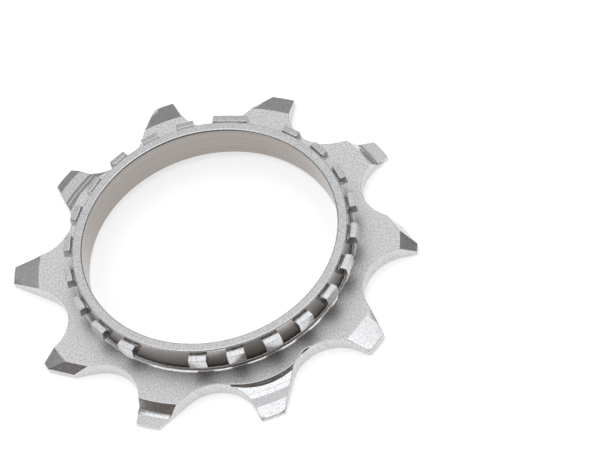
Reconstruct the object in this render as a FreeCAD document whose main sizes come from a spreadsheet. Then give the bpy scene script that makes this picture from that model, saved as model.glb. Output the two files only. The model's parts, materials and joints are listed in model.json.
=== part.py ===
"""Rear cassette cog: a ten-tooth sprocket with a bored collar and a ring of drive lugs, one solid of steel.

Frame: the origin is on the bore's axis in the plane of the flat back face, and +Z runs up the bore
towards the collar's rim. Tooth 0 is on +Y, and teeth and lugs are counted clockwise from there, seen
from the collar side. Each tooth's own radius is the one midway between its two gap centres.
"""
import FreeCAD
import Part
import math
import os

import Sketcher

NODE = "cog"

# Driving dimensions: lengths in millimetres, angles in degrees, counts as plain numbers
SIZES = {
    # chain, tooth gaps and plate
    "chain_pitch": 12.7,
    "roller_dia": 7.75,
    "tooth_count": 10,
    "tooth_depth": 4.7,
    "tall_extra": 0.55,
    "seat_radius": 4.45,
    "drive_flank": 66,
    "lead_flank": 41.5,
    "plate_thick": 1.7,
    # bore and collar
    "bore_dia": 27.2,
    "collar_wall": 1.1,
    "collar_rise": 3.3,
    "collar_foot": 0.45,
    "rim_chamfer": 0.15,
    "rim_break": 0.1,
    "back_countersink": 1.1,
    # drive lugs around the collar, set by the pitch of their ring
    "lug_places": 24,
    "lug_width": 1.9,
    "lug_reach": 0.98,
    "lug_height": 1.22,
    "lug_drop": 0.3,
    "lug_fall": 0.07,
    "lug_draft": 0.06,
    "lug_groove": 0.3,
    "lug_groove_depth": 0.4,
    "long_run": 11,
    "long_run_start": 3.5,
    "short_run": 10,
    "short_run_start": 15.5,
    "key_lug_width": 3.8,
    "key_lug_reach": 1.1,
    "key_lug_start": 1.73,
    # plain tooth tips
    "tip_slope_run": 2.4,
    "tip_land": 0.8,
    # scooped teeth
    "scoop_run": 2.3,
    "scoop_slope": 55,
    "scoop_radius": 0.8,
    "scoop_land": 0.55,
    # cornered teeth
    "blunt_slope_run": 1.7,
    "blunt_land": 0.6,
    "corner_setback": 1.55,
    "corner_angle": 57.5,
    "corner_slope": 55,
    "corner_land": 0.58,
    # recessed teeth
    "recess_turn": 24.6,
    "ledge_slope": 16,
    "bench_start": 1.66,
    "bench_width": 0.16,
    "bench_depth": 0.59,
    "floor_start": 2.19,
    "floor_depth": 0.76,
    "recess_slope_run": 1.25,
    "recess_land": 0.38,
    "step_reach": 0.94,
    "step_radius": 7.4,
    "step_turn": 1.3,
    "step_lean": 30,
    "nick_radius": 1.4,
    "nick_inset": 0.2,
    "nick_depth": 0.3,
    "nick_lean": 45,
    "nick_turn": 17.2,
}

# Stretches of short teeth: the middle tooth of each, and how many teeth it spans
SHORT_TEETH = {4: 7, 9: 1}
# Kinds of tooth: the first tooth of each set, and how many teeth of its kind there are
PLAIN_TEETH = {0: 3, 1: 1}
SCOOPED_TOOTH = 2
CORNERED_TOOTH = 3
RECESSED_TOOTH = 5
SHIFT_PAIR = 2
LIKE_TEETH_APART = 4
# Degrees of the nick's round cut to each side of its middle, enough to reach into the open gap
NICK_HALF_SPAN = 80
# Clear air that a cut runs past the metal
AIR = 1.5

# Expressions for the sizes that follow from the driving ones
PITCH_TURN = "(360 / sizes.tooth_count)"
HALF_PITCH = "(180 / sizes.tooth_count)"
REPEAT_TURN = f"({LIKE_TEETH_APART} * {PITCH_TURN})"
LUG_TURN = "(360 / sizes.lug_places)"
ROOT = f"(sizes.chain_pitch / (2 * sin{HALF_PITCH}) - sizes.roller_dia / 2)"
TIP = f"({ROOT} + sizes.tooth_depth)"
TALL_TIP = f"({TIP} + sizes.tall_extra)"
PAST_TIP = f"({TALL_TIP} + {AIR})"
TOP = "sizes.plate_thick"
ABOVE = f"({TOP} + {AIR})"
BORE = "(sizes.bore_dia / 2)"
COLLAR = f"({BORE} + sizes.collar_wall)"
RIM = f"({TOP} + sizes.collar_rise)"

doc = FreeCAD.newDocument("cassette_cog")


def make_sheet():
    """Writes the driving dimensions into the sheet, one aliased cell each."""
    sheet = doc.addObject("Spreadsheet::Sheet", "sizes")
    for row, (alias, value) in enumerate(SIZES.items(), start=1):
        sheet.set(f"A{row}", alias)
        sheet.set(f"B{row}", str(value))
        sheet.setAlias(f"B{row}", alias)
    doc.recompute()


def origin_item(body, role):
    """One of the body's own origin planes or axes, found by its role."""
    return next(item for item in body.Origin.OriginFeatures if item.Role == role)


def new_sketch(body, name, role, turn="0", slide="0"):
    """A sketch on an origin plane, turned about Z and then slid along its own normal."""
    sketch = body.newObject("Sketcher::SketchObject", name)
    sketch.AttachmentSupport = [(origin_item(body, role), "")]
    sketch.MapMode = "FlatFace"
    flat = role == "XY_Plane"
    axis = FreeCAD.Vector(0, 0, 1) if flat else FreeCAD.Vector(0, 1, 0)
    sketch.AttachmentOffset = FreeCAD.Placement(FreeCAD.Vector(), FreeCAD.Rotation(axis, 1))
    sketch.setExpression("AttachmentOffset.Rotation.Angle", turn)
    if flat:
        sketch.setExpression("AttachmentOffset.Base.z", slide)
    else:
        sketch.setExpression("AttachmentOffset.Base.x", f"({slide}) * sin({turn})")
        sketch.setExpression("AttachmentOffset.Base.z", f"({slide}) * cos({turn})")
    doc.recompute()
    return sketch


def hold(sketch, kind, edge, point, expression):
    """Ties one coordinate of a point to an expression; a negative one is measured the other way round."""
    value = sketch.evalExpression(expression)
    ends = (-1, 1, edge, point)
    if value < 0:
        ends = (edge, point, -1, 1)
        expression = f"-({expression})"
    index = sketch.addConstraint(Sketcher.Constraint(kind, *ends, abs(value)))
    sketch.setExpression(f"Constraints[{index}]", expression)


def outline(sketch, corners, arcs=None):
    """A closed outline through corners given as expressions; arcs maps an edge to its centre and radius."""
    arcs = arcs or {}

    def spot(pair):
        return FreeCAD.Vector(sketch.evalExpression(pair[0]), sketch.evalExpression(pair[1]), 0)

    spots = [spot(pair) for pair in corners]
    count = len(spots)
    for at, begin in enumerate(spots):
        finish = spots[(at + 1) % count]
        if at in arcs:
            centre = spot(arcs[at][0])
            outward = (begin + finish - centre * 2).normalize()
            middle = centre + outward * (begin - centre).Length
            sketch.addGeometry(Part.Arc(begin, middle, finish))
        else:
            sketch.addGeometry(Part.LineSegment(begin, finish))
    firsts = [1 if sketch.getPoint(at, 1).isEqual(spots[at], 1e-6) else 2 for at in range(count)]
    for at, (across, along) in enumerate(corners):
        after = (at + 1) % count
        joint = Sketcher.Constraint("Coincident", at, 3 - firsts[at], after, firsts[after])
        sketch.addConstraint(joint)
        hold(sketch, "DistanceX", at, firsts[at], across)
        hold(sketch, "DistanceY", at, firsts[at], along)
    for at, (_, radius) in arcs.items():
        index = sketch.addConstraint(Sketcher.Constraint("Radius", at, sketch.evalExpression(radius)))
        sketch.setExpression(f"Constraints[{index}]", radius)
    doc.recompute()


def repeat(body, feature, count, turn):
    """Copies a feature clockwise around the Z axis, each copy one turn on from the last."""
    ring = body.newObject("PartDesign::PolarPattern", f"{feature.Name}_ring")
    ring.Originals = [feature]
    ring.Axis = (origin_item(body, "Z_Axis"), [""])
    ring.Reversed = True
    ring.Mode = "Spacing"
    ring.setExpression("Occurrences", count)
    ring.setExpression("Offset", turn)
    body.Tip = ring
    doc.recompute()


def remove(body, kind, name, sketch):
    """Starts a cutting feature on a sketch."""
    cut = body.newObject(f"PartDesign::{kind}", name)
    cut.Profile = sketch
    return cut


def round_edges(feature, radius, height):
    """Names of the feature's round edges of one radius at one height."""
    names = []
    for number, edge in enumerate(feature.Shape.Edges, start=1):
        if not isinstance(edge.Curve, Part.Circle):
            continue
        fits = math.isclose(edge.Curve.Radius, feature.evalExpression(radius), abs_tol=1e-6)
        if fits and math.isclose(edge.Curve.Center.z, feature.evalExpression(height), abs_tol=1e-6):
            names.append(f"Edge{number}")
    return names


def make_blank(body):
    """The turned blank: plate, collar, and a bore that a countersink opens at the back."""
    sketch = new_sketch(body, "blank_section", "XZ_Plane")
    outline(sketch, [
        (f"{BORE} + sizes.back_countersink", "0"),
        (TALL_TIP, "0"),
        (TALL_TIP, TOP),
        (COLLAR, TOP),
        (COLLAR, RIM),
        (BORE, RIM),
        (BORE, "sizes.back_countersink"),
    ])
    blank = body.newObject("PartDesign::Revolution", "blank")
    blank.Profile = sketch
    blank.ReferenceAxis = (sketch, ["V_Axis"])
    blank.Angle = 360
    doc.recompute()
    foot = body.newObject("PartDesign::Fillet", "collar_foot_fillet")
    foot.Base = (blank, round_edges(blank, COLLAR, TOP))
    foot.setExpression("Radius", "sizes.collar_foot")
    doc.recompute()
    rim = body.newObject("PartDesign::Chamfer", "rim_edge")
    rim.Base = (foot, round_edges(foot, BORE, RIM))
    rim.setExpression("Size", "sizes.rim_chamfer")
    doc.recompute()
    worn = body.newObject("PartDesign::Chamfer", "rim_outer_edge")
    worn.Base = (rim, round_edges(rim, COLLAR, RIM))
    worn.setExpression("Size", "sizes.rim_break")
    doc.recompute()


def make_tooth_gaps(body):
    """Tooth gaps: a round roller seat with a steep drive flank and an open lead flank, cut through."""
    half_gap = f"90 - 0.5 * {PITCH_TURN}"
    sketch = new_sketch(body, "gap_outline", "XY_Plane", turn=half_gap, slide=f"-{AIR}")
    seat = "sizes.seat_radius"
    centre = f"({ROOT} + {seat})"
    drive_x = f"({centre} - {seat} * cos(sizes.drive_flank))"
    drive_y = f"({seat} * sin(sizes.drive_flank))"
    lead_x = f"({centre} - {seat} * cos(sizes.lead_flank))"
    lead_y = f"({seat} * sin(sizes.lead_flank))"
    outline(sketch, [
        (drive_x, drive_y),
        (lead_x, f"-{lead_y}"),
        (PAST_TIP, f"-{lead_y} - ({PAST_TIP} - {lead_x}) / tan(sizes.lead_flank)"),
        (PAST_TIP, f"{drive_y} + ({PAST_TIP} - {drive_x}) / tan(sizes.drive_flank)"),
    ], arcs={0: ((centre, "0"), seat)})
    gap = remove(body, "Pocket", "gap", sketch)
    gap.Reversed = True
    gap.setExpression("Length", f"{ABOVE} + {AIR}")
    doc.recompute()
    repeat(body, gap, "sizes.tooth_count", PITCH_TURN)


def tooth_turn(tooth):
    """Angle of a tooth's own radius from +X."""
    return f"(90 - {tooth} * {PITCH_TURN})"


def turned_cut(body, name, tooth, count, corners, arcs=None, turn=PITCH_TURN):
    """Turns away a section to both sides of a tooth, and repeats it on the teeth of the same kind."""
    sketch = new_sketch(body, f"{name}_section", "XZ_Plane", turn=tooth_turn(tooth))
    outline(sketch, corners, arcs)
    cut = remove(body, "Groove", name, sketch)
    cut.ReferenceAxis = (sketch, ["V_Axis"])
    cut.Midplane = True
    cut.setExpression("Angle", turn)
    doc.recompute()
    if count > 1:
        repeat(body, cut, str(count), REPEAT_TURN)


def make_short_teeth(body):
    """Trims every tooth but the two tall ones."""
    section = [(TIP, f"-{AIR}"), (PAST_TIP, f"-{AIR}"), (PAST_TIP, ABOVE), (TIP, ABOVE)]
    for tooth, span in SHORT_TEETH.items():
        turned_cut(body, f"trim_{tooth}", tooth, 1, section, turn=f"{span} * {PITCH_TURN}")


def past_tip(run, high, low):
    """Height where a slope from high, down to low at the tip, has run on into the air."""
    return f"{high} - ({high} - ({low})) * ({PAST_TIP} - {TIP} + {run}) / {run}"


def above_slope(run, land):
    """Section of the air above a straight slope from the plate's face down to the tip."""
    return [
        (f"{TIP} - {run}", TOP),
        (PAST_TIP, past_tip(run, TOP, land)),
        (PAST_TIP, ABOVE),
        (f"{TIP} - {run}", ABOVE),
    ]


def make_plain_tips(body):
    """Plain teeth, thinned towards the tip by one even slope."""
    section = above_slope("sizes.tip_slope_run", "sizes.tip_land")
    for tooth, count in PLAIN_TEETH.items():
        turned_cut(body, f"plain_tip_{tooth}", tooth, count, section)


def make_scoops(body):
    """Scooped teeth: a steep slope that runs through a hollow into a thin flat tip."""
    edge = f"({TIP} - sizes.scoop_run)"
    lean = "sizes.scoop_slope"
    land = "sizes.scoop_land"
    foot = f"({edge} + ({TOP} - {land}) / tan({lean}))"
    reach = f"(sizes.scoop_radius * tan({lean} / 2))"
    section = [
        (edge, TOP),
        (f"{foot} - {reach} * cos({lean})", f"{land} + {reach} * sin({lean})"),
        (f"{foot} + {reach}", land),
        (PAST_TIP, land),
        (PAST_TIP, ABOVE),
        (edge, ABOVE),
    ]
    hollow = {1: ((f"{foot} + {reach}", f"{land} + sizes.scoop_radius"), "sizes.scoop_radius")}
    turned_cut(body, "scoop", SCOOPED_TOOTH, SHIFT_PAIR, section, hollow)


def make_cornered_teeth(body):
    """Cornered teeth: a blunter tip slope, and a flat with an upright foot across the drive flank."""
    section = above_slope("sizes.blunt_slope_run", "sizes.blunt_land")
    turned_cut(body, "blunt_tip", CORNERED_TOOTH, SHIFT_PAIR, section)
    edge = f"(({TIP} - sizes.corner_setback) * sin(sizes.corner_angle))"
    lean = "tan(sizes.corner_slope)"
    foot = f"({edge} + ({TOP} - sizes.corner_land) / {lean})"
    aside = "(90 - sizes.corner_angle)"
    sketch = new_sketch(
        body, "corner_section", "XZ_Plane",
        turn=f"{tooth_turn(CORNERED_TOOTH)} + {aside}",
        slide=f"{edge} * tan({aside} - {HALF_PITCH})",
    )
    outline(sketch, [
        (f"{edge} - {AIR} / {lean}", ABOVE),
        (foot, "sizes.corner_land"),
        (foot, f"-{AIR}"),
        (PAST_TIP, f"-{AIR}"),
        (PAST_TIP, ABOVE),
    ])
    corner = remove(body, "Pocket", "corner", sketch)
    corner.Reversed = True
    corner.setExpression("Length", PAST_TIP)
    doc.recompute()
    repeat(body, corner, str(SHIFT_PAIR), REPEAT_TURN)


def make_recesses(body):
    """Recessed teeth: a ledge, a bench, a floor and a thin tip turned down, up to a crescent-shaped step."""
    floor = f"({TOP} - sizes.floor_depth)"
    bench = f"({TOP} - sizes.bench_depth)"
    bench_start = f"({ROOT} + sizes.bench_start)"
    start = f"({bench_start} - sizes.bench_depth / tan(sizes.ledge_slope))"
    slope = "sizes.recess_slope_run"
    turned_cut(body, "recess_floor", RECESSED_TOOTH, SHIFT_PAIR, [
        (start, TOP),
        (bench_start, bench),
        (f"{bench_start} + sizes.bench_width", bench),
        (f"{ROOT} + sizes.floor_start", floor),
        (f"{TIP} - {slope}", floor),
        (PAST_TIP, past_tip(slope, floor, "sizes.recess_land")),
        (PAST_TIP, ABOVE),
        (start, ABOVE),
    ], turn="sizes.recess_turn")
    lean = "(sizes.bench_depth * tan(sizes.step_lean))"
    wall = f"(sizes.step_radius + {lean})"
    middle = f"({ROOT} + sizes.step_reach - sizes.step_radius)"
    chord = f"({start} * cos(sizes.recess_turn / 2 + sizes.step_turn) - {lean})"
    half = f"sqrt({wall}^2 - ({chord} - {middle})^2)"
    turn = f"{tooth_turn(RECESSED_TOOTH)} + sizes.step_turn"
    sketch = new_sketch(body, "step_outline", "XY_Plane", turn=turn, slide=bench)
    outline(sketch, [(chord, f"-{half}"), (chord, half)], arcs={0: ((middle, "0"), wall)})
    step = body.newObject("PartDesign::Pad", "step")
    step.Profile = sketch
    step.setExpression("Length", "sizes.bench_depth")
    step.setExpression("TaperAngle", "-sizes.step_lean")
    doc.recompute()
    repeat(body, step, str(SHIFT_PAIR), REPEAT_TURN)


def make_nicks(body):
    """A shallow sloping nick in the root of the gap behind each recessed tooth."""
    turn = f"{tooth_turn(RECESSED_TOOTH)} + sizes.nick_turn"
    sketch = new_sketch(body, "nick_outline", "XY_Plane", turn=turn, slide=TOP)
    middle = f"({ROOT} - sizes.nick_inset + sizes.nick_radius)"
    near = f"({middle} - sizes.nick_radius * cos({NICK_HALF_SPAN}))"
    half = f"(sizes.nick_radius * sin({NICK_HALF_SPAN}))"
    outline(sketch, [(near, f"-{half}"), (near, half)], arcs={0: ((middle, "0"), "sizes.nick_radius")})
    nick = remove(body, "Pocket", "nick", sketch)
    nick.setExpression("Length", "sizes.nick_depth")
    nick.setExpression("TaperAngle", "-sizes.nick_lean")
    doc.recompute()
    repeat(body, nick, str(SHIFT_PAIR), REPEAT_TURN)


def add_lug(body, name, place, reach, width):
    """One lug on the collar: a groove behind its top, which falls a little outwards, and a drafted face."""
    sketch = new_sketch(body, f"{name}_section", "XZ_Plane", turn=f"90 - {place} * {LUG_TURN}")
    top = f"({RIM} - sizes.lug_drop)"
    bottom = f"({top} - sizes.lug_height)"
    outer = f"({COLLAR} + {reach})"
    buried = f"({COLLAR} - sizes.collar_wall / 2)"
    outline(sketch, [
        (buried, bottom),
        (f"{outer} + sizes.lug_draft", bottom),
        (outer, f"{top} - sizes.lug_fall"),
        (f"{COLLAR} + sizes.lug_groove", top),
        (COLLAR, f"{top} - sizes.lug_groove_depth"),
        (buried, f"{top} - sizes.lug_groove_depth"),
    ])
    lug = body.newObject("PartDesign::Pad", name)
    lug.Profile = sketch
    lug.SideType = "Symmetric"
    lug.setExpression("Length", width)
    body.Tip = lug
    doc.recompute()
    return lug


def make_lugs(body):
    """Two runs of even lugs with a bare place before each, and a wide key lug that fits only one way."""
    for run in ("long_run", "short_run"):
        lug = add_lug(body, f"{run}_lug", f"sizes.{run}_start", "sizes.lug_reach", "sizes.lug_width")
        repeat(body, lug, f"sizes.{run}", LUG_TURN)
    add_lug(body, "key_lug", "sizes.key_lug_start", "sizes.key_lug_reach", "sizes.key_lug_width")


def make_cog():
    """The whole cog, one body."""
    body = doc.addObject("PartDesign::Body", NODE)
    body.Label = NODE
    steps = (
        make_blank,
        make_recesses,
        make_tooth_gaps,
        make_nicks,
        make_short_teeth,
        make_plain_tips,
        make_scoops,
        make_cornered_teeth,
        make_lugs,
    )
    for step in steps:
        before = body.Shape.Volume if body.Tip else 0
        step(body)
        if math.isclose(body.Shape.Volume, before, rel_tol=1e-6):
            raise RuntimeError(f"{step.__name__} left the volume as it was")
        print(f"{step.__name__}: {body.Shape.Volume - before:+.2f} mm3")
    return body


def write_part(body):
    """Checks every object of the document, then writes the body's solid."""
    for item in doc.Objects:
        if "Invalid" in item.State or "Error" in item.State:
            raise RuntimeError(f"{item.Label} failed: {item.State}")
    shape = body.Shape
    if shape.isNull() or not shape.isValid() or len(shape.Solids) != 1:
        raise RuntimeError(f"{body.Label} is not one valid solid")
    os.makedirs("parts", exist_ok=True)
    shape.exportStep(f"parts/{body.Label}.step")
    print(f"{body.Label}: {shape.Volume:.2f} mm3, {shape.BoundBox}")


make_sheet()
write_part(make_cog())
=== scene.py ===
"""Looks of the cassette cog: rounded edges and plated steel on the CAD solid, a pale stage, the camera."""
import json
import math

import bpy
from mathutils import Matrix, Vector


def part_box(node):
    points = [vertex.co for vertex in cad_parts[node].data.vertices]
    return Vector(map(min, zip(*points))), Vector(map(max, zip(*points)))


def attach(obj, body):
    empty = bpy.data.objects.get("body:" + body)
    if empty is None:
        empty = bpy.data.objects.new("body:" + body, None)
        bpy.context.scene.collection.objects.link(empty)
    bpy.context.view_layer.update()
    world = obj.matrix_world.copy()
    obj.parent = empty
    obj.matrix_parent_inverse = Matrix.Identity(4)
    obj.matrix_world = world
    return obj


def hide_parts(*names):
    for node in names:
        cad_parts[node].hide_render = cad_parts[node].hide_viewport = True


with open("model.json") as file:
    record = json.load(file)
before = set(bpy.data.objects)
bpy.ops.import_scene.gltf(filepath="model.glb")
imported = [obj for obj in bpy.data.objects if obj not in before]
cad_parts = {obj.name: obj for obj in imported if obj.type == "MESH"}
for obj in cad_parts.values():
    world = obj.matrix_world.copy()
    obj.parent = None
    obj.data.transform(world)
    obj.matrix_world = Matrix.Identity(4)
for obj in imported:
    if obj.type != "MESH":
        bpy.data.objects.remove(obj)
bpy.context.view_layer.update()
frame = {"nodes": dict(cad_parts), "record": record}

bl_info = {
    "name": "Cassette cog finish",
    "version": (1, 0, 0),
    "blender": (4, 5, 0),
    "location": "3D View > Sidebar > Cog",
    "description": "Gives the cassette cog its worked edges, plated steel, stage and camera",
    "category": "Object",
}

MM = 0.001
NODE = "cog"
PIECE = "cog_finished"

# The cog's own sizes: the bore's and the collar's radius, and the height of the plate, the foot and the rim
BORE = next(mount for mount in frame["record"]["mounts"] if mount["name"] == "bore")["dims"]["r_mm"] * MM
COLLAR_WALL = 1.1 * MM
COLLAR = BORE + COLLAR_WALL
PLATE_TOP = 1.7 * MM
FOOT_FILLET = 0.45 * MM
COLLAR_FOOT = PLATE_TOP + FOOT_FILLET
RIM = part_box(NODE)[1][2]

# How faces are told apart: a wall's normal rises less than this, and a level face's more.
# A place this near to a height or a radius is on it.
WALL_RISE = 0.3
LEVEL_RISE = 0.99
PLACE_NEAR = 0.1 * MM
# The finishes in the order of the piece's material slots; the collar wall's finish is painted shade, darker
# towards its foot
COINED, TURNED, SHADED_WALL, BLASTED = range(4)

# Limits of the mesh work: points this near are one, and faces this level are one.
# Edges that turn more than the last are rounded, in this many segments.
MERGE = 0.0005 * MM
LEVEL = math.radians(0.2)
EDGE = math.radians(10)
EDGE_SEGMENTS = 2
# Rows of points between the two borders of the fillet, so that its facets stay under the edge limit
FILLET_CUTS = 10
# Faces that meet under this angle shade as one surface, each weighted by its area
SMOOTH = math.radians(50)
FACE_WEIGHT = 100

# Finer layers of the noise that draws pits and tool lines, and the share that each keeps of the one before
NOISE_LAYERS = 2.0
NOISE_SHARE = 0.6
# Depth of a blasted pit and of a tool line as a share of its width
PIT_DEPTH = 0.25
TOOL_LINE_DEPTH = 0.2
# How strongly a tool line turns the light, and how long it is
TOOL_LINE_STRENGTH = 0.3
TOOL_LINE_LENGTH = 50 * MM
# The noise values that take a finish's two colours
GRAIN_LOW = 0.3
GRAIN_HIGH = 0.7
# How far up the collar the middle colour of its painted shade is
WALL_SHADE_MIDDLE = 0.4

# Studio dome: brightness by height, from the horizon at 0 to overhead at 1, under one strength
DOME_STRENGTH = 1.75
DOME = (
    (0.0, "#797775"),
    (0.21, "#7E7C7B"),
    (0.5, "#939291"),
    (0.68, "#B0B0B0"),
    (0.8, "#BCBCBD"),
    (0.9, "#DCDDDF"),
    (0.95, "#F4F5F7"),
    (1.0, "#F4F5F7"),
)
# The dome's share across, from the far left at -1 to the far right at 1
SIDES = (
    (-1.0, "#DEDEDE"),
    (-0.77, "#E2E2E2"),
    (-0.41, "#FBFBFB"),
    (0.0, "#F3F3F3"),
    (0.42, "#FFFFFF"),
    (0.55, "#FFFFFF"),
    (0.82, "#BEBEBE"),
    (1.0, "#BABABA"),
)
# The dome gives way to one low level on the viewer's side, between these two depths
FRONT_START = -0.3
FRONT_END = -0.55
FRONT_LEVEL = "#534E4B"
# The darkest part of the room: how far its rim and its heart are from the photograph's line of sight
SHADE_RIM = math.radians(19)
SHADE_HEART = math.radians(6)
SHADE_LEVEL = "#2A2725"
# Floor brightness that the eye and reflections see, added to what the dome lights
FLOOR_LIFT = 0.5
LIFT_COLOUR = "#FFFFFF"

# Sockets that a Mix node uses once it mixes colours
MIX_A = 6
MIX_B = 7
MIX_RESULT = 2

# The camera, its place and aim in millimetres in the cog's own frame
CAMERA_PLACE = Vector((-13.346, -306.290, 403.612))
CAMERA_AIM = Vector((9.470, 0.749, 0.0))
CAMERA_ROLL = math.radians(-17.433)
CAMERA_LENS = 288.84
SENSOR_WIDTH = 36.0
# The nearest and farthest that the camera sees, in metres
NEAREST = 0.01
FARTHEST = 20.0


def linear(code):
    """An sRGB hex colour as linear red, green, blue and alpha."""
    parts = [int(code[at:at + 2], 16) / 255 for at in (1, 3, 5)]
    return [p / 12.92 if p <= 0.04045 else ((p + 0.055) / 1.055) ** 2.4 for p in parts] + [1.0]


def add_node(tree, kind, inputs=None, **settings):
    """Adds a node; an input takes a value, or another node's output socket."""
    node = tree.nodes.new(kind)
    for name, value in settings.items():
        setattr(node, name, value)
    for key, value in (inputs or {}).items():
        if isinstance(value, bpy.types.NodeSocket):
            tree.links.new(value, node.inputs[key])
        else:
            node.inputs[key].default_value = value
    return node


def set_ramp(node, stops):
    """Puts colour stops on a ramp, given as place and linear colour."""
    ramp = node.color_ramp
    while len(ramp.elements) > 1:
        ramp.elements.remove(ramp.elements[-1])
    for at, (place, colour) in enumerate(stops):
        stop = ramp.elements[0] if at == 0 else ramp.elements.new(place)
        stop.position = place
        stop.color = colour


def new_material(name):
    """An empty node material with its output."""
    material = bpy.data.materials.new(name)
    material.use_nodes = True
    material.node_tree.nodes.clear()
    return material, material.node_tree, add_node(material.node_tree, "ShaderNodeOutputMaterial")


def plated_metal(tree, output, colour, relief, roughness):
    """Joins a colour and a bump in a plated surface of one roughness."""
    shader = add_node(tree, "ShaderNodeBsdfPrincipled", {
        "Base Color": colour,
        "Metallic": 1.0,
        "Roughness": roughness,
        "Normal": relief.outputs["Normal"],
    })
    tree.links.new(shader.outputs["BSDF"], output.inputs["Surface"])


def blasted_pits(tree, place, width, strength):
    """The pits of bead blasting: their noise, and the bump that it gives."""
    pits = add_node(tree, "ShaderNodeTexNoise", {
        "Vector": place, "Scale": 1 / width, "Detail": NOISE_LAYERS, "Roughness": NOISE_SHARE,
    })
    relief = add_node(tree, "ShaderNodeBump", {
        "Height": pits.outputs["Fac"], "Strength": strength, "Distance": width * PIT_DEPTH,
    })
    return pits.outputs["Fac"], relief


def pitted_plating(name, width, strength, colours, roughness):
    """Plating over blasted pits, with one colour in the pits and one between them."""
    material, tree, output = new_material(name)
    place = add_node(tree, "ShaderNodeTexCoord").outputs["Object"]
    pits, relief = blasted_pits(tree, place, width, strength)
    shade = add_node(tree, "ShaderNodeValToRGB", {"Fac": pits})
    set_ramp(shade, zip((GRAIN_LOW, GRAIN_HIGH), colours))
    plated_metal(tree, output, shade.outputs["Color"], relief, roughness)
    return material


def blasted_nickel_steel(finish):
    """Nickel-plated steel, bead blasted: a pale grainy satin that spreads light over a wide soft patch."""
    colours = (finish.plate_dark, finish.plate_light)
    return pitted_plating(
        "nickel_plated_steel_bead_blasted", finish.pit_width, finish.pit_strength, colours,
        finish.plate_roughness)


def coined_nickel_steel(finish):
    """The same plating pressed by a die: its pits are flattened, so facets turn plainly light or dark."""
    colours = (finish.coined_dark, finish.coined_light)
    return pitted_plating(
        "nickel_plated_steel_coined", finish.pit_width, finish.coined_strength, colours,
        finish.coined_roughness)


def turned_shaded_nickel_steel(finish):
    """The same plating on turned metal: fine tool lines around the axis, painted darker and warmer than the
    blasted faces as shade and a reflection of the dim surroundings that the bore sees.
    """
    material, tree, output = new_material("nickel_plated_steel_turned_painted_shade")
    place = add_node(tree, "ShaderNodeTexCoord").outputs["Object"]
    drawn = add_node(tree, "ShaderNodeMapping", {
        "Vector": place, "Scale": (1 / TOOL_LINE_LENGTH, 1 / TOOL_LINE_LENGTH, 1 / finish.tool_line),
    })
    lines = add_node(tree, "ShaderNodeTexNoise", {
        "Vector": drawn.outputs["Vector"], "Scale": 1.0, "Detail": NOISE_LAYERS, "Roughness": NOISE_SHARE,
    })
    relief = add_node(tree, "ShaderNodeBump", {
        "Height": lines.outputs["Fac"],
        "Strength": TOOL_LINE_STRENGTH,
        "Distance": finish.tool_line * TOOL_LINE_DEPTH,
    })
    shade = add_node(tree, "ShaderNodeValToRGB", {"Fac": lines.outputs["Fac"]})
    set_ramp(shade, ((GRAIN_LOW, finish.bore_groove_shaded), (GRAIN_HIGH, finish.bore_ridge_shaded)))
    plated_metal(tree, output, shade.outputs["Color"], relief, finish.turned_roughness)
    return material


def shaded_wall_nickel_steel(finish):
    """The same plating on the collar's wall, with painted shade: its colour darkens to a warm brown from
    the rim down to the foot.
    """
    material, tree, output = new_material("nickel_plated_steel_painted_shade")
    place = add_node(tree, "ShaderNodeTexCoord").outputs["Object"]
    height = add_node(tree, "ShaderNodeSeparateXYZ", {0: place}).outputs["Z"]
    rise = add_node(tree, "ShaderNodeMapRange", {"Value": height, 1: COLLAR_FOOT, 2: RIM})
    relief = blasted_pits(tree, place, finish.pit_width, finish.pit_strength)[1]
    shade = add_node(tree, "ShaderNodeValToRGB", {"Fac": rise.outputs[0]})
    set_ramp(shade, ((0.0, finish.wall_shade_foot), (WALL_SHADE_MIDDLE, finish.wall_shade_middle), (1.0, finish.wall_shade_rim)))
    plated_metal(tree, output, shade.outputs["Color"], relief, finish.wall_roughness)
    return material


def length_prop(name, description, default):
    """A length in metres that the user can change."""
    return bpy.props.FloatProperty(
        name=name, description=description, default=default, min=0.0, subtype="DISTANCE", unit="LENGTH",
        precision=6)


def share_prop(name, description, default):
    """A share from 0 to 1 that the user can change."""
    return bpy.props.FloatProperty(
        name=name, description=description, default=default, min=0.0, max=1.0, subtype="FACTOR")


def colour_prop(name, description, code):
    """A colour that the user can change."""
    return bpy.props.FloatVectorProperty(
        name=name, description=description, size=4, default=linear(code), subtype="COLOR", min=0.0, max=1.0)


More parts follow.
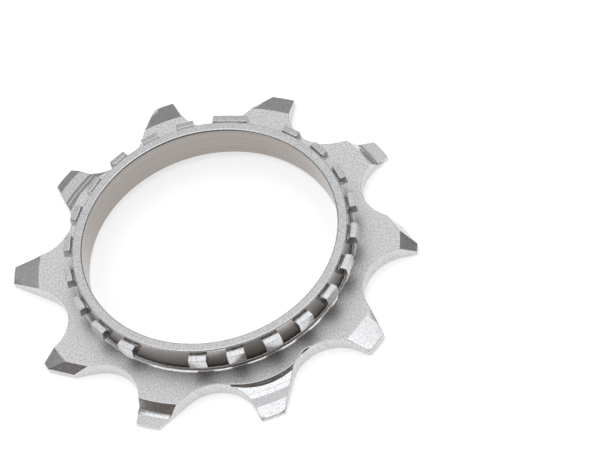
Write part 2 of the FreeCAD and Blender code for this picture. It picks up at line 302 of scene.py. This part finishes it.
class CogFinish(bpy.types.PropertyGroup):
    """Sizes and finish of the cog's worked surfaces."""
    edge_round: length_prop(
        "Edge round", "Radius left on every sharp edge by blasting and plating", 0.06 * MM)
    pit_width: length_prop(
        "Pit width", "Width of the blasted pits, drawn as coarse as they need to show", 0.19 * MM)
    pit_strength: share_prop("Pit strength", "How strongly the blasted pits turn the light", 0.25)
    coined_strength: share_prop(
        "Coined pit strength", "How strongly the flattened pits of the facets turn the light", 0.08)
    coined_roughness: share_prop("Coined roughness", "Roughness of the teeth, facets and lugs", 0.2)
    plate_roughness: share_prop("Plate roughness", "Roughness of the plate's level top", 0.43)
    # The collar's wall below carries painted shade, darkest at its foot
    wall_roughness: share_prop("Wall roughness", "Roughness of the collar's browned wall", 0.25)
    tool_line: length_prop("Tool line", "Spacing of the turning lines in the bore", 0.12 * MM)
    turned_roughness: share_prop("Turned roughness", "Roughness of the turned bore", 0.24)
    plate_dark: colour_prop("Plate, pits", "Colour of the plate's top in its pits", "#C0C0C1")
    plate_light: colour_prop("Plate, peaks", "Colour of the plate's top between its pits", "#F5F5F5")
    coined_dark: colour_prop("Facets, pits", "Colour of the coined faces in their pits", "#C4C4C5")
    coined_light: colour_prop("Facets, peaks", "Colour of the coined faces between their pits", "#E4E4E4")
    # The bore's two colours mark its tool lines; both are painted darker and warmer as shade and a
    # reflection of its dim surroundings
    bore_groove_shaded: colour_prop("Bore, grooves", "Colour of the bore in its tool lines", "#99938E")
    bore_ridge_shaded: colour_prop("Bore, ridges", "Colour of the bore between its tool lines", "#B3ADA8")
    # Painted shade on the collar's wall: dark warm brown at the foot, lighter up to the rim
    wall_shade_foot: colour_prop("Stain, foot", "Colour of the collar's wall at its foot", "#645A52")
    wall_shade_middle: colour_prop("Stain, wall", "Colour of the collar's wall below its middle", "#938B84")
    wall_shade_rim: colour_prop("Stain, rim", "Colour of the collar's wall at its rim", "#C6C3C0")


class CogStage(bpy.types.PropertyGroup):
    """Size and colour of the floor."""
    floor_size: length_prop("Floor size", "Side of the square floor", 2.0)
    floor_colour: colour_prop("Floor colour", "Colour of the pale floor", "#F4F4F4")


def pick_only(obj):
    """Makes one object the only selected one and the active one."""
    bpy.ops.object.select_all(action="DESELECT")
    obj.select_set(True)
    bpy.context.view_layer.objects.active = obj


def on_fillet(place):
    """Whether a place is on the fillet at the collar's foot, between its borders."""
    away = math.hypot(place.x, place.y) - COLLAR
    in_reach = -PLACE_NEAR < away < FOOT_FILLET + PLACE_NEAR
    return in_reach and PLATE_TOP + MERGE < place.z < COLLAR_FOOT - MERGE


def even_fillet(mesh):
    """Lays an even band of faces along the collar's foot, on the fillet's own round."""
    bpy.ops.object.mode_set(mode="EDIT")
    bpy.ops.mesh.select_mode(type="FACE")
    bpy.ops.mesh.select_all(action="DESELECT")
    bpy.ops.object.mode_set(mode="OBJECT")
    for face in mesh.polygons:
        face.select = on_fillet(face.center)
    bpy.ops.object.mode_set(mode="EDIT")
    bpy.ops.mesh.delete(type="FACE")
    bpy.ops.mesh.select_mode(type="EDGE")
    bpy.ops.mesh.select_non_manifold(extend=False, use_wire=False, use_multi_face=False, use_verts=False)
    if bpy.ops.mesh.bridge_edge_loops(number_cuts=FILLET_CUTS) != {"FINISHED"}:
        raise RuntimeError("the band along the collar's foot could not be bridged")
    bpy.ops.object.mode_set(mode="OBJECT")
    # A new point moves in its own section, given as distance from the axis and height
    centre = Vector((COLLAR + FOOT_FILLET, COLLAR_FOOT))
    for vertex in mesh.vertices:
        place = vertex.co
        if on_fillet(place):
            radius = math.hypot(place.x, place.y)
            moved = centre + (Vector((radius, place.z)) - centre).normalized() * FOOT_FILLET
            vertex.co = (place.x * moved.x / radius, place.y * moved.x / radius, moved.y)


def join_faces(piece):
    """Merges the copy's loose triangles, evens the fillet and makes level faces one."""
    bpy.ops.object.mode_set(mode="EDIT")
    bpy.ops.mesh.select_all(action="SELECT")
    bpy.ops.mesh.remove_doubles(threshold=MERGE)
    bpy.ops.object.mode_set(mode="OBJECT")
    even_fillet(piece.data)
    bpy.ops.object.mode_set(mode="EDIT")
    bpy.ops.mesh.select_all(action="SELECT")
    bpy.ops.mesh.dissolve_limited(angle_limit=LEVEL)
    bpy.ops.mesh.normals_make_consistent(inside=False)
    bpy.ops.object.mode_set(mode="OBJECT")


def round_edges(piece, width):
    """Rounds the sharp edges, and shades the faces smoothly with the large ones flat."""
    bevel = piece.modifiers.new("edge_round", "BEVEL")
    bevel.width = width
    bevel.segments = EDGE_SEGMENTS
    bevel.limit_method = "ANGLE"
    bevel.angle_limit = EDGE
    bevel.use_clamp_overlap = False
    bpy.ops.object.modifier_apply(modifier=bevel.name)
    bpy.ops.object.shade_smooth_by_angle(angle=SMOOTH)
    weighted = piece.modifiers.new("face_weight", "WEIGHTED_NORMAL")
    weighted.weight = FACE_WEIGHT
    weighted.keep_sharp = True
    bpy.ops.object.modifier_apply(modifier=weighted.name)


def face_finish(face, edge_round):
    """The finish of a face, by its place and the way it faces."""
    radius = math.hypot(face.center.x, face.center.y)
    if radius < BORE + edge_round and face.normal.z < WALL_RISE:
        return TURNED
    if abs(radius - COLLAR) < PLACE_NEAR and abs(face.normal.z) < WALL_RISE:
        return SHADED_WALL
    if abs(face.center.z - PLATE_TOP) < PLACE_NEAR and face.normal.z > LEVEL_RISE:
        return BLASTED
    return COINED


def give_metals(mesh, finish):
    """Makes the four finishes and gives each face its own."""
    metals = {
        COINED: coined_nickel_steel(finish),
        TURNED: turned_shaded_nickel_steel(finish),
        SHADED_WALL: shaded_wall_nickel_steel(finish),
        BLASTED: blasted_nickel_steel(finish),
    }
    mesh.materials.clear()
    for slot in sorted(metals):
        mesh.materials.append(metals[slot])
    for face in mesh.polygons:
        face.material_index = face_finish(face, finish.edge_round)


class COG_OT_finish(bpy.types.Operator):
    """Round the cog's edges and give each surface its finish"""
    bl_idname = "cog.finish"
    bl_label = "Finish the cog"

    def execute(self, context):
        finish = context.scene.cog_finish
        piece = bpy.data.objects.new(PIECE, frame["nodes"][NODE].data.copy())
        context.scene.collection.objects.link(piece)
        pick_only(piece)
        join_faces(piece)
        round_edges(piece, finish.edge_round)
        give_metals(piece.data, finish)
        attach(piece, "root")
        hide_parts(NODE)
        return {"FINISHED"}


def make_floor(stage):
    """A pale floor that the eye and reflections see near white, with the cog's shadow kept."""
    bpy.ops.mesh.primitive_plane_add(size=stage.floor_size)
    floor = bpy.context.active_object
    floor.name = "stage_floor"
    material, tree, output = new_material("stage_paper_white")
    path = add_node(tree, "ShaderNodeLightPath")
    seen = path.outputs["Is Camera Ray"]
    for ray in ("Is Glossy Ray", "Is Transmission Ray"):
        either = add_node(tree, "ShaderNodeMath", {0: seen, 1: path.outputs[ray]}, operation="MAXIMUM")
        seen = either.outputs[0]
    paper = add_node(tree, "ShaderNodeBsdfDiffuse", {"Color": stage.floor_colour})
    lift = add_node(tree, "ShaderNodeEmission", {"Color": linear(LIFT_COLOUR), "Strength": FLOOR_LIFT})
    both = add_node(tree, "ShaderNodeAddShader", {0: paper.outputs[0], 1: lift.outputs[0]})
    mixed = add_node(tree, "ShaderNodeMixShader", {0: seen, 1: paper.outputs[0], 2: both.outputs[0]})
    tree.links.new(mixed.outputs[0], output.inputs["Surface"])
    floor.data.materials.append(material)


def make_world():
    """A studio dome: bright overhead, grey towards the horizon and dark on the viewer's side."""
    world = bpy.data.worlds.new("studio_dome")
    bpy.context.scene.world = world
    world.use_nodes = True
    tree = world.node_tree
    tree.nodes.clear()
    output = add_node(tree, "ShaderNodeOutputWorld")
    look = add_node(tree, "ShaderNodeTexCoord").outputs["Generated"]
    across, along, height = add_node(tree, "ShaderNodeSeparateXYZ", {0: look}).outputs
    dome = add_node(tree, "ShaderNodeValToRGB", {"Fac": height})
    set_ramp(dome, [(place, linear(code)) for place, code in DOME])
    reach = add_node(tree, "ShaderNodeMapRange", {"Value": across, 1: -1.0, 2: 1.0})
    sides = add_node(tree, "ShaderNodeValToRGB", {"Fac": reach.outputs[0]})
    set_ramp(sides, [((place + 1) / 2, linear(code)) for place, code in SIDES])
    shared = add_node(tree, "ShaderNodeMix", {
        0: 1.0, MIX_A: dome.outputs["Color"], MIX_B: sides.outputs["Color"],
    }, data_type="RGBA", blend_type="MULTIPLY")
    back = add_node(tree, "ShaderNodeMapRange", {
        "Value": along, 1: FRONT_END, 2: FRONT_START,
    }, interpolation_type="SMOOTHSTEP")
    all_round = add_node(tree, "ShaderNodeMix", {
        0: back.outputs[0], MIX_A: linear(FRONT_LEVEL), MIX_B: shared.outputs[MIX_RESULT],
    }, data_type="RGBA")
    sight = (CAMERA_PLACE - CAMERA_AIM).normalized()
    near = add_node(tree, "ShaderNodeVectorMath", {0: look, 1: sight}, operation="DOT_PRODUCT")
    shade = add_node(tree, "ShaderNodeMapRange", {
        "Value": near.outputs["Value"], 1: math.cos(SHADE_RIM), 2: math.cos(SHADE_HEART),
    }, interpolation_type="SMOOTHSTEP")
    shaded = add_node(tree, "ShaderNodeMix", {
        0: shade.outputs[0], MIX_A: all_round.outputs[MIX_RESULT], MIX_B: linear(SHADE_LEVEL),
    }, data_type="RGBA")
    light = add_node(tree, "ShaderNodeBackground", {
        "Color": shaded.outputs[MIX_RESULT], "Strength": DOME_STRENGTH,
    })
    tree.links.new(light.outputs[0], output.inputs["Surface"])


def make_camera():
    """The camera at the photograph's angle, rolled as the photograph is."""
    data = bpy.data.cameras.new("camera")
    data.sensor_width = SENSOR_WIDTH
    data.lens = CAMERA_LENS
    data.clip_start = NEAREST
    data.clip_end = FARTHEST
    camera = bpy.data.objects.new("camera", data)
    forward = (CAMERA_AIM - CAMERA_PLACE).normalized()
    right = forward.cross(Vector((0, 0, 1))).normalized()
    up = right.cross(forward)
    turned_right = right * math.cos(CAMERA_ROLL) + up * math.sin(CAMERA_ROLL)
    turned_up = turned_right.cross(forward)
    axes = Matrix((turned_right, turned_up, -forward)).transposed().to_4x4()
    camera.matrix_world = Matrix.Translation(CAMERA_PLACE * MM) @ axes
    bpy.context.scene.collection.objects.link(camera)
    bpy.context.scene.camera = camera


class COG_OT_stage(bpy.types.Operator):
    """Set the floor, the light and the camera"""
    bl_idname = "cog.stage"
    bl_label = "Set the stage"

    def execute(self, context):
        context.scene.view_settings.view_transform = "Standard"
        make_floor(context.scene.cog_stage)
        make_world()
        make_camera()
        return {"FINISHED"}


class COG_PT_panel(bpy.types.Panel):
    """Lists the steps that finish the cog"""
    bl_idname = "COG_PT_panel"
    bl_label = "Cassette cog"
    bl_space_type = "VIEW_3D"
    bl_region_type = "UI"
    bl_category = "Cog"

    def draw(self, context):
        steps = (
            (context.scene.cog_finish, COG_OT_finish),
            (context.scene.cog_stage, COG_OT_stage),
        )
        for settings, step in steps:
            box = self.layout.box()
            for name in settings.__annotations__:
                box.prop(settings, name)
            box.operator(step.bl_idname)


CLASSES = (CogFinish, CogStage, COG_OT_finish, COG_OT_stage, COG_PT_panel)


def register():
    """Makes the classes known to Blender and gives the scene its settings."""
    for item in CLASSES:
        bpy.utils.register_class(item)
    bpy.types.Scene.cog_finish = bpy.props.PointerProperty(type=CogFinish)
    bpy.types.Scene.cog_stage = bpy.props.PointerProperty(type=CogStage)


def unregister():
    """Takes the settings and the classes away again."""
    del bpy.types.Scene.cog_stage
    del bpy.types.Scene.cog_finish
    for item in reversed(CLASSES):
        bpy.utils.unregister_class(item)


def main():
    register()
    bpy.ops.cog.finish()
    bpy.ops.cog.stage()


if __name__ == "__main__":
    main()
